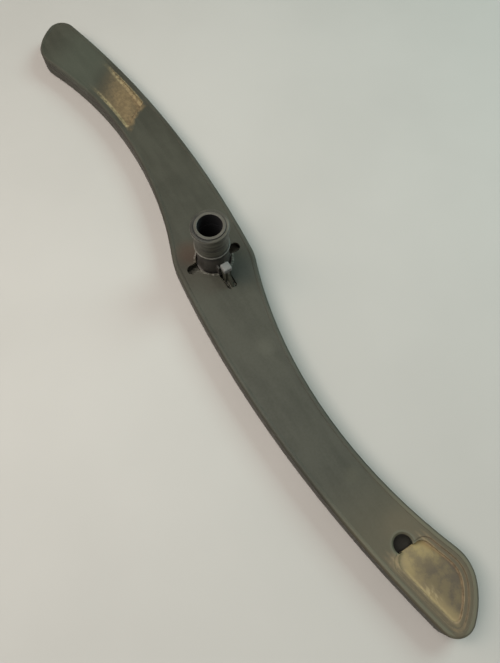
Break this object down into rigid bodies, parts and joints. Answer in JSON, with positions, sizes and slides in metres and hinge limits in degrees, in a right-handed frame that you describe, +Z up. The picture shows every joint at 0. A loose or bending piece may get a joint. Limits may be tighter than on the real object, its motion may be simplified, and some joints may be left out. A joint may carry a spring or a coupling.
{
  "type": "dishwasher spray arm",
  "caption": "S-shaped hollow spray arm for a dishwasher, with an upright inlet tube that turns in a collar, jet mouths in the face and nozzles beneath.",
  "frame": {"origin": "on the hub axis, at the level of the face that the arm lies on", "axes": "+X along the arm to the tip with the round mouth, +Z up the inlet tube, +Y across the arm"},
  "size_m": [0.4624, 0.0548, 0.0478],
  "materials": {
    "face_shell": "olive grey moulded polypropylene, fine eroded texture",
    "spray_shell": "olive grey moulded polypropylene, fine eroded texture",
    "collar": "grey moulded polypropylene",
    "tube": "grey moulded polypropylene, worn smooth",
    "bush": "moulded acetal, slick",
    "foot_ring": "moulded acetal",
    "washer": "slick low-friction plastic"
  },
  "bodies": {
    "arm": {"face_shell": "face_shell", "spray_shell": "spray_shell", "bayonet_collar": "collar", "shoulder_washer": "washer", "thrust_washer": "washer"},
    "inlet": {"inlet_tube": "tube", "mouth_bush": "bush", "foot_ring": "foot_ring"}
  },
  "joints": [
    {"name": "arm_spin", "type": "hinge", "parent": "arm", "child": "inlet", "pos_m": [0, 0, 0.013], "axis": [0, 0, 1], "continuous": true}
  ]
}
